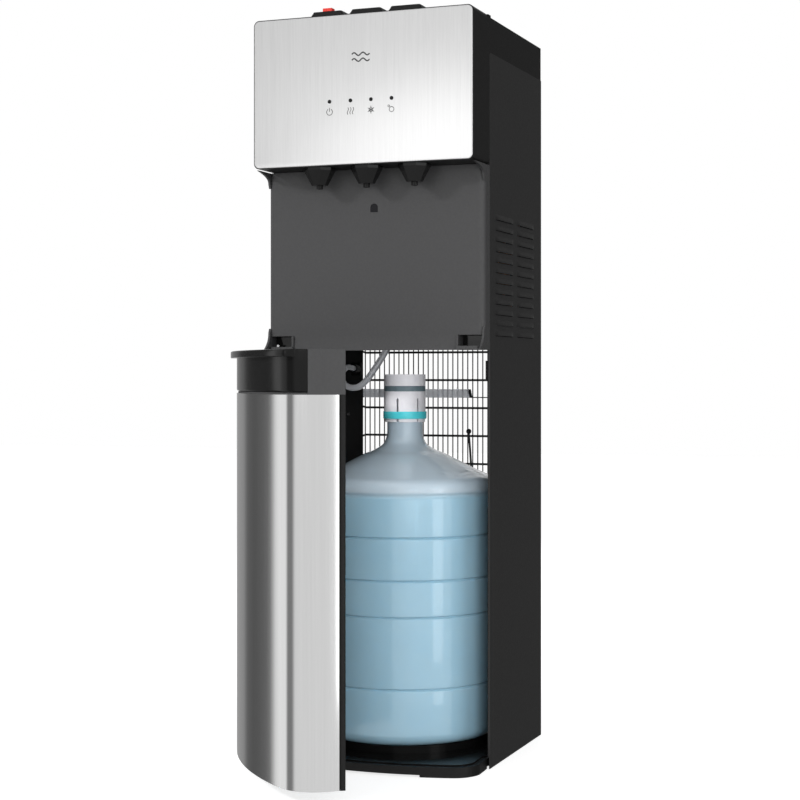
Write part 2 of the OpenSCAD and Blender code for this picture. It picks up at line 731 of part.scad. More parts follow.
// Fitting on the hose's far end, parked on an arm of the rear flange
module hose_holder() {
    last = HOSE[len(HOSE) - 1];
    dir = unit(last - HOSE[len(HOSE) - 2]);
    turn = [0, acos(dir.z), atan2(dir.y, dir.x)];
    color("#1a1a1a") {
        translate(last) rotate(turn) cylinder_z(6.5, 0, 16);
        translate(last) rotate(turn) cylinder_z(4.2, 16, 28);
        box(-142, -126, 112, half_d - sheet, 536, 556);
    }
}

module suction_hose() {
    color("#dfe3e6", 0.7) pipe(HOSE, hose_r, 12, 5);
}

// ---- Door ----

module door_shell(outer, inner, z0, z1, back = 0) {
    translate([0, 0, z0]) linear_extrude(z1 - z0) difference() {
        polygon(dee(outer, back));
        polygon(dee(inner, back - 2));
    }
}

module door_liner() {
    color("#1a1a1a") swung() difference() {
        union() {
            door_shell(sheet, 4, door_bottom, skin_top);
            intersection() {
                door_shell(0, 6, door_bottom, skin_top);
                box(-half_w, half_w, door_y - skin_rear, door_y, door_bottom, skin_top);
            }
            difference() {
                slab(dee(sheet), door_bottom, door_bottom + 3.5);
                slab(dee(14, -2), door_bottom - 1, door_bottom + 5);
            }
            slab(dee(sheet), skin_top - 3, skin_top);
            intersection() {
                slab(dee(sheet), door_bottom, door_bottom + 18);
                translate([pivot.x, pivot.y, door_bottom]) cylinder(r = 6, h = 18, $fn = 48);
            }
            for (z = [150, 280, 400]) translate([0, 0, z]) linear_extrude(3) difference() {
                polygon(dee(sheet));
                polygon(dee(9, -2));
            }
        }
        translate([pivot.x, pivot.y, door_bottom - 1]) cylinder(r = pin_bore_r, h = 14, $fn = 32);
    }
}

module door_skin() {
    color("#b9bbbd") swung() translate([0, 0, door_bottom]) linear_extrude(skin_top - door_bottom) difference() {
        polygon(dee(0, skin_rear));
        polygon(dee(sheet, skin_rear - 2));
    }
}

// Cap of the door behind the drip tray's side seam: a floor, a rear wall and two closed shoulders
module door_cap() {
    well = well_half + 0.5;
    color("#3a3a3a") swung() difference() {
        union() {
            intersection() {
                slab(dee(0, 0, 24), skin_top, door_top);
                box(-half_w, half_w, door_y - tray_seam + 0.5, door_y, skin_top, door_top);
            }
            slab(dee(2), skin_top, skin_top + 2.4);
        }
        box(-well, well, door_y - tray_seam - 1, door_y - wall, skin_top + 2.4, door_top + 1);
        difference() {
            intersection() {
                slab(dee(wall), skin_top + 2.4, door_top - wall);
                box(-half_w, half_w, door_y - tray_seam + 0.5 + wall, door_y - wall, skin_top, door_top);
            }
            translate([pivot.x, pivot.y, skin_top]) cylinder(r = 6, h = door_top - skin_top, $fn = 48);
            for (s = [-1, 1]) box(s * well - wall, s * well + wall, door_y - 60, door_y, skin_top, door_top);
        }
        translate([pivot.x, pivot.y, 553]) cylinder(r = pin_bore_r, h = 20, $fn = 32);
    }
}

// Plan of the drip tray's well inset by i, between the door's shoulders
module well_plan(i) {
    intersection() {
        polygon(dee(i));
        translate([i - well_half, door_y - door_d]) square([2 * (well_half - i), door_d - 5 - i]);
    }
}

// Plan of the part in front of the seam inset by i, as wide as the door
module front_plan(i) {
    intersection() {
        polygon(dee(i));
        translate([-door_w / 2, door_y - door_d]) square([door_w, door_d - tray_seam - i]);
    }
}

// Tray with an overhanging rim in front; its two side lobes are closed on top and hollow below
module drip_tray() {
    rim = 8.5;
    rim_z = 559.5;
    color("#0d0d0d") swung() difference() {
        union() {
            translate([0, 0, tray_floor]) linear_extrude(door_top - tray_floor) well_plan(0);
            translate([0, 0, tray_floor]) linear_extrude(door_top - tray_floor) front_plan(0);
            intersection() {
                slab(dee(-rim), rim_z, door_top);
                box(-134, 134, door_y - door_d - rim - 1, door_y - tray_seam - 8, rim_z, door_top);
            }
        }
        translate([0, 0, tray_floor + wall]) linear_extrude(door_top) well_plan(wall);
        translate([0, 0, tray_floor - 1]) linear_extrude(door_top - wall - tray_floor + 1) difference() {
            front_plan(wall);
            translate([-well_half, door_y - door_d]) square([2 * well_half, door_d]);
        }
    }
    color("#0d0d0d") swung() for (x = [-106, 106]) for (y = [-14, -66])
        translate([x, door_y + y, tray_floor + wall]) cylinder(r = 4, h = grille_z - tray_floor - wall - 0.3, $fn = 24);
}

module drip_grille() {
    color("#26282a") swung() difference() {
        translate([0, 0, grille_z]) linear_extrude(3.5) well_plan(wall + 0.5);
        for (k = [-12:12]) box(k * 8.6 - 2.2, k * 8.6 + 2.2, door_y - 62, door_y - 18, grille_z - 1, grille_z + 5);
    }
}

// ---- Bottle ----

// Outer half-profile of the bottle, drawn in by i for its inner wall
function bottle_profile(i) =
    let (r = bottle_r - i, z0 = shelf_top + 0.5, g = 3)
    concat([[0.01, z0 + 5 + i], [96, z0 + 5 + i], [104, z0 + i]],
        [for (a = [-90:15:0]) [r - 16 + 16 * cos(a), z0 + 16 + i + 16 * sin(a)]],
        [for (z = [104, 203, 253, 312]) each [[r, z - 4], [r - g, z - 1], [r - g, z + 1], [r, z + 4]]],
        [[r, 366], [r - 2, 370], [r, 374]],
        [for (a = [0:15:60]) [r - 26 + 26 * cos(a), 376 + 20 * sin(a)]],
        [[105 - i, 400 - i / 2], [85 - i, 410 - i / 2], [60 - i, 422.5 - i / 2], [46 - i, 428 - i / 2],
         [34 - i, 435 - i / 2], [29 - i, 441], [25.7 - i, 452], [25.7 - i, 470]]);

module bottle() {
    color("#8fb4cc", 0.5) translate([0, bottle_y, 0]) rotate_extrude($fn = 96) difference() {
        polygon(concat(bottle_profile(0), [[0.01, 470]]));
        polygon(concat(bottle_profile(1.6), [[24.1, 472], [0.01, 472]]));
    }
}

module water() {
    level = 364;
    color("#7fa9c4", 0.5) translate([0, bottle_y, 0]) rotate_extrude($fn = 96) intersection() {
        polygon(concat(bottle_profile(1.9), [[0.01, 470]]));
        square([200, level]);
    }
}

module bottle_cap() {
    color("#f2f2f2") translate([0, bottle_y, 0]) {
        difference() {
            union() {
                cylinder_z(29.8, 473, 537.5, 72);
                cylinder_z(29, 469, 473, 72);
            }
            cylinder_z(25.9, 460, 471.3, 72);
            cylinder_z(27.4, 471.3, 534, 72);
            for (a = [30:60:330]) rotate([0, 0, a]) box(24, 33, -1.4, 1.4, 460, 503);
            tube(34, 29.2, 513, 521, 72);
        }
        tube(31, 28, 474, 484, 72);
    }
}

base_pan();
levelling_feet();
bottle_shelf();
side_panel(-1);  // left_side_panel
side_panel(1);  // right_side_panel
rear_panel();
rear_bottom_rail();
top_cover();
head_housing();
head_front_panel();
indicator_lenses();
control_board();
button_guide();
hot_button();
room_button();
cold_button();
spring(-1);  // hot_spring
spring(0);  // room_spring
spring(1);  // cold_spring
child_lock();
nozzle(-1);  // hot_nozzle
nozzle(0);  // room_nozzle
nozzle(1);  // cold_nozzle
splash_panel();
night_light_lens();
hinge_pockets();
hinge_pins();
deck();
compressor();
compressor_grommets();
cold_tank();
tank_insulation();
hot_tank();
pump();
water_lines();
refrigerant_lines();
filter_drier();
condenser_tube();
condenser_wires();
condenser_brackets();
tie_strap();
process_tube();
switch_plate();
color("#c22b20") rocker(-1);  // hot_switch
color("#2a62b8") rocker(0);  // cold_switch
color("#1a1a1a") rocker(1);  // light_switch
cord_gland();
panel_screws();
magnet_catch();
hose_gland();
hose_holder();
suction_hose();
door_liner();
door_skin();
door_cap();
drip_tray();
drip_grille();
bottle();
water();
bottle_cap();
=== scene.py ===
"""Looks of a floor-standing, bottom-loading water dispenser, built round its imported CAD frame."""
import json
import math

import bmesh
import bpy
from mathutils import Matrix, Vector


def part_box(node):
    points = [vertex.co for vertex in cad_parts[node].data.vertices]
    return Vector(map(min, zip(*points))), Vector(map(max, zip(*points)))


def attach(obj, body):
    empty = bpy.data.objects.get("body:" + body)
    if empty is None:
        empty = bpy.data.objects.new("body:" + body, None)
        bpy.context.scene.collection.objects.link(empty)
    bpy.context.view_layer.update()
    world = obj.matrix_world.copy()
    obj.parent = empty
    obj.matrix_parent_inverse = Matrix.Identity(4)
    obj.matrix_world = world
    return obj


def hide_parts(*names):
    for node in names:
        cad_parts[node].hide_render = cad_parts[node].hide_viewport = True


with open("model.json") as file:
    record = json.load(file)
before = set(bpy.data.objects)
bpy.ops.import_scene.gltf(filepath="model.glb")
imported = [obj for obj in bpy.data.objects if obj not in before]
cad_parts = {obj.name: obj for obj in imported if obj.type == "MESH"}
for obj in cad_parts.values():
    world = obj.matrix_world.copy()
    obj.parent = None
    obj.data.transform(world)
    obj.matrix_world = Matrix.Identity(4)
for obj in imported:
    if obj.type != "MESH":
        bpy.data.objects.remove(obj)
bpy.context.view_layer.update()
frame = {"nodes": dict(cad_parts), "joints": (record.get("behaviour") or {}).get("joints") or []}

MM = 0.001
NODES = frame["nodes"]
JOINTS = {joint["name"]: joint for joint in frame["joints"]}

# ---- Driving sizes, in metres ----

CAB_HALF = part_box("right_side_panel")[1].x
HEAD_LOW, HEAD_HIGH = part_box("head_front_panel")
DOOR_PIVOT = Vector(JOINTS["door_hinge"]["pos_m"])
DOOR_OPEN = math.radians(JOINTS["door_hinge"]["range_deg"][0])
HINGE_INSET = 6.5 * MM
DOOR_REAR = DOOR_PIVOT.y + HINGE_INSET
DOOR_WIDTH = 312 * MM
DOOR_DEPTH = 88 * MM
DOOR_CORNER = 52 * MM
DOOR_BOW = 500 * MM
SKIN_REAR = 6 * MM
SKIN_LOW, SKIN_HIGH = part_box("door_skin")
TRAY_LOW, TRAY_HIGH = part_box("drip_tray")
BOTTLE_LOW, BOTTLE_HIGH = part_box("bottle")
BOTTLE_AXIS = Vector(((BOTTLE_LOW.x + BOTTLE_HIGH.x) / 2, (BOTTLE_LOW.y + BOTTLE_HIGH.y) / 2, 0))
BOTTLE_RADIUS = (BOTTLE_HIGH.x - BOTTLE_LOW.x) / 2
WATER_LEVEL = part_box("water")[1].z

# ---- Camera, floor and light ----


def add_camera():
    """The photograph's view: level, from the front right, shifted so that the whole object is in it."""
    data = bpy.data.cameras.new("camera")
    data.sensor_width = 36
    data.lens = 77.96
    data.shift_y = -0.0304
    camera = bpy.data.objects.new("camera", data)
    camera.location = (0.8987, -2.3630, 0.5356)
    camera.rotation_euler = (math.radians(90), 0, math.radians(21.19))
    bpy.context.scene.collection.objects.link(camera)
    bpy.context.scene.camera = camera


def add_light(name, place, target, size, power, mirrored=True):
    """A soft rectangular studio light at place, facing target, that shiny surfaces may mirror."""
    data = bpy.data.lights.new(name, "AREA")
    data.shape = "RECTANGLE"
    data.size, data.size_y = size
    data.energy = power
    light = bpy.data.objects.new(name, data)
    light.location = place
    light.rotation_euler = (Vector(target) - Vector(place)).to_track_quat("-Z", "Y").to_euler()
    light.visible_glossy = mirrored
    bpy.context.scene.collection.objects.link(light)


# Brightness of the studio walls, by direction in degrees: 0 is the front, 90 the right
STUDIO_WALLS = [
    (-146, 0.36), (-131, 0.32), (-126, 0.14), (-118, 0.11), (-108, 0.15), (-104, 0.20), (-101, 1.10),
    (-70, 1.10), (-62, 0.28), (-47, 0.26), (-36, 0.94), (60, 0.95), (84, 1.1), (93, 0.5), (105, 0.14),
    (172, 0.10), (186, 0.9), (205, 0.9)]
FLOOR_REACH = 9.0
FLOOR_GLOW = 0.74


def add_world():
    """Walls that light the dispenser unevenly; seen straight or through clear plastic they are white."""
    world = bpy.data.worlds.new("studio")
    world.use_nodes = True
    nodes = world.node_tree.nodes
    links = world.node_tree.links
    place = nodes.new("ShaderNodeTexCoord")
    turn = nodes.new("ShaderNodeTexGradient")
    turn.gradient_type = "RADIAL"
    links.new(place.outputs["Generated"], turn.inputs["Vector"])
    walls = nodes.new("ShaderNodeValToRGB")
    stops = sorted(((angle / 360 + 0.25) % 1, level) for angle, level in STUDIO_WALLS)
    for position, level in stops[1:-1]:
        walls.color_ramp.elements.new(position).color = (level, level, level, 1)
    for element, (position, level) in ((walls.color_ramp.elements[0], stops[0]),
                                       (walls.color_ramp.elements[-1], stops[-1])):
        element.position = position
        element.color = (level, level, level, 1)
    links.new(turn.outputs["Fac"], walls.inputs["Fac"])
    path = nodes.new("ShaderNodeLightPath")
    straight = nodes.new("ShaderNodeMath")
    straight.operation = "MAXIMUM"
    links.new(path.outputs["Is Camera Ray"], straight.inputs[0])
    links.new(path.outputs["Is Transmission Ray"], straight.inputs[1])
    seen = nodes.new("ShaderNodeMix")
    seen.data_type = "RGBA"
    seen.inputs[7].default_value = (1, 1, 1, 1)
    links.new(straight.outputs[0], seen.inputs["Factor"])
    links.new(walls.outputs["Color"], seen.inputs[6])
    links.new(seen.outputs[2], nodes["Background"].inputs["Color"])
    bpy.context.scene.world = world


def add_floor():
    """A plain pale floor."""
    mesh = bpy.data.meshes.new("floor")
    corners = [(FLOOR_REACH * x, FLOOR_REACH * y, 0) for x, y in ((-1, -1), (1, -1), (1, 1), (-1, 1))]
    mesh.from_pydata(corners, [], [(0, 1, 2, 3)])
    floor = bpy.data.objects.new("floor", mesh)
    bpy.context.scene.collection.objects.link(floor)
    look = Look("studio_floor", {"Roughness": 0.9, "Emission Color": (1, 1, 1)})
    look.tinted(look.noise(1.5, 2), grey(0.44), grey(0.46))
    seen = look.node("ShaderNodeLightPath").outputs["Is Camera Ray"]
    look.feed(look.spread(seen, 0, FLOOR_GLOW, 0, 1), "Emission Strength")
    mesh.materials.append(look.material)
    floor.visible_glossy = False


# ---- Materials ----


class Look:
    """A Principled material whose detail is added node by node."""

    def __init__(self, name, constants):
        self.material = bpy.data.materials.new(name)
        self.material.use_nodes = True
        self.tree = self.material.node_tree
        self.shader = self.tree.nodes["Principled BSDF"]
        for socket, value in constants.items():
            self.shader.inputs[socket].default_value = (*value, 1) if socket.endswith("Color") else value
        self.place = self.node("ShaderNodeTexCoord").outputs["Object"]

    def node(self, kind, links=None, values=None, **settings):
        """A new node with settings, constant values and links from other nodes' outputs."""
        made = self.tree.nodes.new(kind)
        for key, value in settings.items():
            setattr(made, key, value)
        for socket, value in (values or {}).items():
            made.inputs[socket].default_value = value
        for socket, output in (links or {}).items():
            self.tree.links.new(output, made.inputs[socket])
        return made

    def stretched(self, stretch):
        """The object's own coordinates, scaled along each axis."""
        return self.node("ShaderNodeMapping", {"Vector": self.place}, {"Scale": stretch}).outputs["Vector"]

    def noise(self, scale, detail=3, stretch=(1, 1, 1), rough=0.5):
        """A noise of that many features a metre, from 0 to 1."""
        made = self.node("ShaderNodeTexNoise", {"Vector": self.stretched(stretch)},
                         {"Scale": scale, "Detail": detail, "Roughness": rough})
        return made.outputs["Fac"]

    def cells(self, scale, feature="F1", output="Distance"):
        """A pattern of cells, that many a metre."""
        made = self.node("ShaderNodeTexVoronoi", {"Vector": self.place}, {"Scale": scale}, feature=feature)
        return made.outputs[output]

    def spread(self, value, low, high, start=0.3, end=0.7):
        """The value mapped from start..end to low..high."""
        made = self.node("ShaderNodeMapRange", {"Value": value},
                         {"From Min": start, "From Max": end, "To Min": low, "To Max": high})
        return made.outputs["Result"]

    def blend(self, share, first, second):
        """A colour between first and second, which are colours or outputs."""
        made = self.node("ShaderNodeMix", {"Factor": share}, data_type="RGBA")
        for socket, colour in ((made.inputs[6], first), (made.inputs[7], second)):
            if isinstance(colour, tuple):
                socket.default_value = (*colour, 1)
            else:
                self.tree.links.new(colour, socket)
        return made.outputs[2]

    def feed(self, output, socket):
        """Links an output to one of the shader's sockets."""
        self.tree.links.new(output, self.shader.inputs[socket])

    def tinted(self, value, dark, light, start=0.3, end=0.7):
        """Base colour that wanders between dark and light."""
        self.feed(self.blend(self.spread(value, 0, 1, start, end), dark, light), "Base Color")

    def uneven(self, value, low, high):
        """Roughness that wanders between low and high."""
        self.feed(self.spread(value, low, high), "Roughness")

    def rounded_edges(self, radius):
        """Normals that round the edges over radius."""
        return self.node("ShaderNodeBevel", values={"Radius": radius}, samples=4).outputs["Normal"]

    def grained(self, height, depth, under=None, strength=1.0):
        """Relief of that depth in metres, on top of the normals under."""
        links = {"Height": height}
        if under is not None:
            links["Normal"] = under
        made = self.node("ShaderNodeBump", links, {"Distance": depth, "Strength": strength})
        self.feed(made.outputs["Normal"], "Normal")

    def edge_wear(self, rounded):
        """A mask that is high along the rounded edges and broken up by noise."""
        flat = self.node("ShaderNodeNewGeometry").outputs["Normal"]
        dot = self.node("ShaderNodeVectorMath", operation="DOT_PRODUCT")
        self.tree.links.new(rounded, dot.inputs[0])
        self.tree.links.new(flat, dot.inputs[1])
        edge = self.spread(dot.outputs["Value"], 1, 0, 0.8, 0.995)
        broken = self.spread(self.noise(60, 4), 0.2, 1)
        made = self.node("ShaderNodeMath", {0: edge, 1: broken}, operation="MULTIPLY")
        return made.outputs["Value"]


def grey(level):
    """The same value for red, green and blue."""
    return (level, level, level)


def moulded(name, dark, light, rough=(0.40, 0.46), grain=900, radius=0.6 * MM, extra=None):
    """Moulded plastic: fine grain, faint flow marks, rounded edges."""
    look = Look(name, {"IOR": 1.5, **(extra or {})})
    look.tinted(look.noise(grain / 3, 4), dark, light)
    look.uneven(look.noise(grain / 2, 4), *rough)
    look.grained(look.noise(grain, 2), 0.02 * MM, look.rounded_edges(radius))
    return look


def glossy(name, dark, light, rough=(0.06, 0.16), shine=0.5):
    """Polished plastic with faint smears and hairline scratches."""
    look = Look(name, {"IOR": 1.5, "Specular IOR Level": shine})
    look.tinted(look.noise(10, 4), dark, light)
    scratch = look.noise(140, 5, (1, 1, 9), 0.7)
    look.uneven(scratch, *rough)
    look.grained(look.noise(26, 3), 0.12 * MM, look.rounded_edges(0.5 * MM), 0.25)
    return look


def powder_steel(name, dark, light):
    """Powder-coated sheet steel: fine orange peel, edges rubbed a little lighter."""
    look = Look(name, {"IOR": 1.5})
    rounded = look.rounded_edges(0.7 * MM)
    base = look.blend(look.spread(look.noise(500, 3), 0, 1), dark, light)
    worn = look.blend(look.edge_wear(rounded), base, tuple(min(1, 2.2 * c) for c in light))
    look.feed(worn, "Base Color")
    look.uneven(look.noise(300, 4), 0.40, 0.45)
    look.grained(look.noise(1100, 2), 0.05 * MM, rounded)
    return look


def brushed(name, dark, light, rough=(0.30, 0.34), relief=0.006 * MM, length=0.02, stretch=0.5):
    """Stainless steel brushed from top to bottom."""
    look = Look(name, {"Metallic": 1.0, "Anisotropic": stretch})
    fine = look.noise(1500, 3, (1, 1, length), 0.65)
    broad = look.noise(330, 4, (1, 1, length), 0.6)
    both = look.node("ShaderNodeMix", {0: look.spread(look.noise(9, 3), 0.3, 0.7), 2: fine, 3: broad})
    streak = both.outputs[0]
    look.tinted(streak, dark, light, 0.34, 0.66)
    look.uneven(streak, *rough)
    look.grained(streak, relief)
    tangent = look.node("ShaderNodeTangent", direction_type="RADIAL", axis="Z")
    look.feed(tangent.outputs["Tangent"], "Tangent")
    return look


def bare_metal(name, dark, light, rough=(0.25, 0.4), scale=70):
    """Plain metal with a cloudy surface."""
    look = Look(name, {"Metallic": 1.0})
    look.tinted(look.noise(scale, 5), dark, light)
    look.uneven(look.noise(scale * 3, 4), *rough)
    look.grained(look.noise(scale * 12, 3), 0.02 * MM, look.rounded_edges(0.4 * MM))
    return look


def galvanised(name):
    """Zinc-coated sheet with its spangle."""
    look = Look(name, {"Metallic": 1.0})
    spangle = look.cells(90, output="Color")
    level = look.node("ShaderNodeSeparateColor", {"Color": spangle}).outputs["Red"]
    look.tinted(level, (0.42, 0.43, 0.44), (0.62, 0.63, 0.64), 0, 1)
    look.feed(look.spread(level, 0.3, 0.5, 0, 1), "Roughness")
    look.grained(look.noise(600, 3), 0.02 * MM, look.rounded_edges(0.4 * MM))
    return look


def see_through(name, dark, light, rough, ior, transmission, extra=None):
    """Clear or tinted plastic that lets most light through."""
    look = Look(name, {"IOR": ior, "Transmission Weight": transmission, **(extra or {})})
    look.tinted(look.noise(18, 4), dark, light)
    look.uneven(look.noise(30, 4), *rough)
    look.grained(look.noise(40, 2), 0.1 * MM, strength=0.15)
    return look


def bottle_plastic(name):
    """Tinted polycarbonate with painted light and shade: paler above the water, bluer and darker below it.
    """
    look = Look(name, {"IOR": 1.25, "Transmission Weight": 0.40, "Coat Weight": 1.0, "Coat Roughness": 0.04})
    cloud = look.spread(look.noise(18, 4), 0, 1)
    # Painted light and shade: below the water line the shell is painted bluer and darker for the water's
    # tint and shade behind the wall; above it, paler for light through the empty shoulder.
    shaded_below_water = look.blend(cloud, (0.50, 0.79, 0.95), (0.54, 0.82, 0.97))
    lit_above_water = look.blend(cloud, (0.74, 0.88, 0.98), (0.78, 0.91, 1.0))
    height = look.node("ShaderNodeSeparateXYZ", {"Vector": look.place}).outputs["Z"]
    above = look.spread(height, 0, 1, WATER_LEVEL + 2 * MM, WATER_LEVEL + 12 * MM)
    look.feed(look.blend(above, shaded_below_water, lit_above_water), "Base Color")
    look.uneven(look.noise(30, 4), 0.28, 0.32)
    look.grained(look.noise(40, 2), 0.1 * MM, strength=0.15)
    return look


def foam(name):
    """Expanded white foam with its beads."""
    look = Look(name, {"Roughness": 0.9})
    beads = look.cells(320)
    look.tinted(beads, (0.82, 0.82, 0.79), (0.62, 0.62, 0.6), 0, 0.6)
    look.grained(beads, 0.4 * MM)
    return look


def circuit(name):
    """Solder mask with traces and pads."""
    look = Look(name, {"IOR": 1.5})
    traces = look.cells(420, feature="DISTANCE_TO_EDGE")
    look.tinted(traces, (0.42, 0.36, 0.12), (0.012, 0.11, 0.045), 0.03, 0.07)
    look.uneven(look.noise(300, 2), 0.25, 0.4)
    look.grained(traces, 0.05 * MM)
    return look


def make_looks():
    """One material for each slot of the record."""
    return {
        "black_plastic": moulded("black_plastic", grey(0.005), grey(0.008),
                                 extra={"Specular IOR Level": 0.2}),
        "gloss_black": glossy("gloss_black", grey(0.004), grey(0.007), shine=0.14),
        "nozzle_black": glossy("nozzle_black", grey(0.005), grey(0.008), (0.12, 0.2), 0.15),
        "black_steel": powder_steel("black_steel", grey(0.010), grey(0.014)),
        "brushed_stainless": brushed("brushed_stainless", grey(0.66), grey(0.73)),
        "grey_plastic": moulded("grey_plastic", (0.036, 0.036, 0.037), (0.041, 0.041, 0.042), (0.46, 0.56)),
        "grille_grey": moulded("grille_grey", (0.020, 0.021, 0.022), (0.032, 0.033, 0.034), (0.3, 0.42)),
        "smoked_lens": glossy("smoked_lens", (0.003, 0.003, 0.004), (0.006, 0.006, 0.008), shine=0.1),
        "circuit_green": circuit("circuit_green"),
        "bright_steel": bare_metal("bright_steel", (0.55, 0.55, 0.56), grey(0.78), (0.16, 0.3), 200),
        "zinc_sheet": galvanised("zinc_sheet"),
        "tank_steel": bare_metal("tank_steel", (0.48, 0.48, 0.49), grey(0.66)),
        "foam_white": foam("foam_white"),
        "compressor_black": glossy("compressor_black", grey(0.008), grey(0.016), (0.2, 0.34)),
        "rubber_black": moulded("rubber_black", grey(0.012), (0.022, 0.021, 0.020), (0.62, 0.78), 500),
        "pump_grey": moulded("pump_grey", (0.022, 0.026, 0.031), (0.034, 0.038, 0.044)),
        "clear_tube": see_through("clear_tube", (0.74, 0.75, 0.79), (0.84, 0.85, 0.88), (0.08, 0.16), 1.4,
                                  0.45, {"Coat Weight": 1.0, "Coat Roughness": 0.05}),
        "copper_tube": bare_metal("copper_tube", (0.48, 0.20, 0.10), (0.74, 0.38, 0.22), (0.22, 0.42)),
        "condenser_black": powder_steel("condenser_black", grey(0.010), grey(0.018)),
        "red_plastic": moulded("red_plastic", (0.52, 0.022, 0.014), (0.66, 0.034, 0.022), (0.24, 0.36)),
        "blue_plastic": moulded("blue_plastic", (0.020, 0.10, 0.42), (0.030, 0.14, 0.52), (0.24, 0.36)),
        "white_plastic": moulded("white_plastic", (0.86, 0.85, 0.90), (0.92, 0.91, 0.95), (0.3, 0.42), 500,
                                 extra={"Subsurface Weight": 0.1, "Subsurface Radius": grey(2 * MM)}),
        "bottle_blue": bottle_plastic("bottle_blue"),
        "water": see_through("water", (0.27, 0.57, 0.74), (0.30, 0.60, 0.76), (0.3, 0.34), 1.2, 0.12),
    }


def extra_looks():
    """Materials of pieces that Blender adds."""
    return {
        "satin_stainless": brushed("satin_stainless", grey(0.62), grey(0.66), (0.11, 0.14), 0.002 * MM,
                                   length=0.006, stretch=0.0),
        "icon_ink": moulded("icon_ink", grey(0.010), grey(0.016), (0.3, 0.45), radius=0.05 * MM),
        "seal_teal": glossy("seal_teal", (0.07, 0.66, 0.74), (0.10, 0.72, 0.80), (0.2, 0.3)),
        "ring_slate": moulded("ring_slate", (0.13, 0.19, 0.22), (0.17, 0.23, 0.26), (0.3, 0.45), 500),
        # Painted shade: near-black gloss for the dark panels in the corner pockets and the strips behind the
        # lowest louvres.
        "painted_shade_black": glossy("painted_shade_black", grey(0.002), grey(0.004), shine=0.3),
    }


# ---- Mesh helpers ----


def add_mesh(name, verts, faces, body, slot, look=None, crease=35, bevel=0.0):
    """A piece in the frame's own coordinates that rides on body and has a slot's finish."""
    form = bmesh.new()
    corners = [form.verts.new(v) for v in verts]
    for face in faces:
        form.faces.new([corners[i] for i in face])
    bmesh.ops.remove_doubles(form, verts=form.verts, dist=1e-6)
    bmesh.ops.recalc_face_normals(form, faces=form.faces)
    for edge in form.edges:
        edge.smooth = len(edge.link_faces) == 2 and edge.calc_face_angle() < math.radians(crease)
    for face in form.faces:
        face.smooth = True
    mesh = bpy.data.meshes.new(name)
    form.to_mesh(mesh)
    form.free()
    piece = bpy.data.objects.new(name, mesh)
    bpy.context.scene.collection.objects.link(piece)
    if bevel:
        rounding = piece.modifiers.new("rounded_edges", "BEVEL")
        rounding.width = bevel
        rounding.segments = 3
        rounding.angle_limit = math.radians(crease)
        rounding.harden_normals = True
    mesh.materials.append((look or LOOKS[slot]).material)
    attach(piece, body)
    return piece


def loft(rings, round_trip=False):
    """Vertices and faces through closed rings of equally many points, capped unless they go round."""
    count = len(rings[0])
    verts = [point for ring in rings for point in ring]
    faces = []
    last = len(rings) if round_trip else len(rings) - 1
    for i in range(last):
        near = i * count
        far = (i + 1) % len(rings) * count
        for j in range(count):
            k = (j + 1) % count
            faces.append((near + j, near + k, far + k, far + j))
    if not round_trip:
        faces.append(tuple(range(count))[::-1])
        faces.append(tuple(range((len(rings) - 1) * count, len(rings) * count)))
    return verts, faces


def merged(*parts):
    """Several meshes as one."""
    verts = []
    faces = []
    for part_verts, part_faces in parts:
        base = len(verts)
        verts += list(part_verts)
        faces += [tuple(base + i for i in face) for face in part_faces]
    return verts, faces


def arc(centre, radius, start, end, steps):
    """Points of an arc in a plane, angles in degrees."""
    points = []
    for i in range(steps + 1):
        angle = math.radians(start + (end - start) * i / steps)
        points.append((centre[0] + radius * math.cos(angle), centre[1] + radius * math.sin(angle)))
    return points


def rounded_rect(width, height, radius, steps):
    """Outline of a rounded rectangle centred on the origin."""
    half_w = width / 2 - radius
    half_h = height / 2 - radius
    points = []
    for sx, sy, start in ((1, 1, 0), (-1, 1, 90), (-1, -1, 180), (1, -1, 270)):
        points += arc((sx * half_w, sy * half_h), radius, start, start + 90, steps)
    return points


def lathe(profile, axis, steps):
    """A closed profile [(radius, height)] turned round a vertical axis."""
    rings = []
    for i in range(steps):
        angle = 2 * math.pi * i / steps
        rings.append([(axis.x + r * math.cos(angle), axis.y + r * math.sin(angle), z) for r, z in profile])
    return loft(rings, round_trip=True)


def spline(points, steps):
    """A smooth curve through points, with steps between neighbours."""
    made = []
    for i in range(len(points) - 1):
        p1, p2 = Vector(points[i]), Vector(points[i + 1])
        p0 = Vector(points[i - 1]) if i else 2 * p1 - p2
        p3 = Vector(points[i + 2]) if i + 2 < len(points) else 2 * p2 - p1
        for k in range(steps + (i == len(points) - 2)):
            t = k / steps
            made.append(0.5 * (2 * p1 + (p2 - p0) * t + (2 * p0 - 5 * p1 + 4 * p2 - p3) * t * t
                               + (3 * p1 - p0 - 3 * p2 + p3) * t ** 3))
    return made


# ---- Hose ----

HOSE_RADIUS = 4.75 * MM
# In millimetres, from the gland in the deck to the fitting
HOSE_ROUTE = [(-38, 19, 602), (-38, 19, 595), (-41, 19, 584), (-48, 19, 571), (-57, 19, 557),
              (-67, 19, 543), (-78, 19, 529), (-91, 19, 519), (-106, 21, 518), (-119, 27, 525),
              (-126, 37, 536), (-128, 49, 544), (-128, 62, 548), (-129, 77, 548), (-130, 92, 547)]


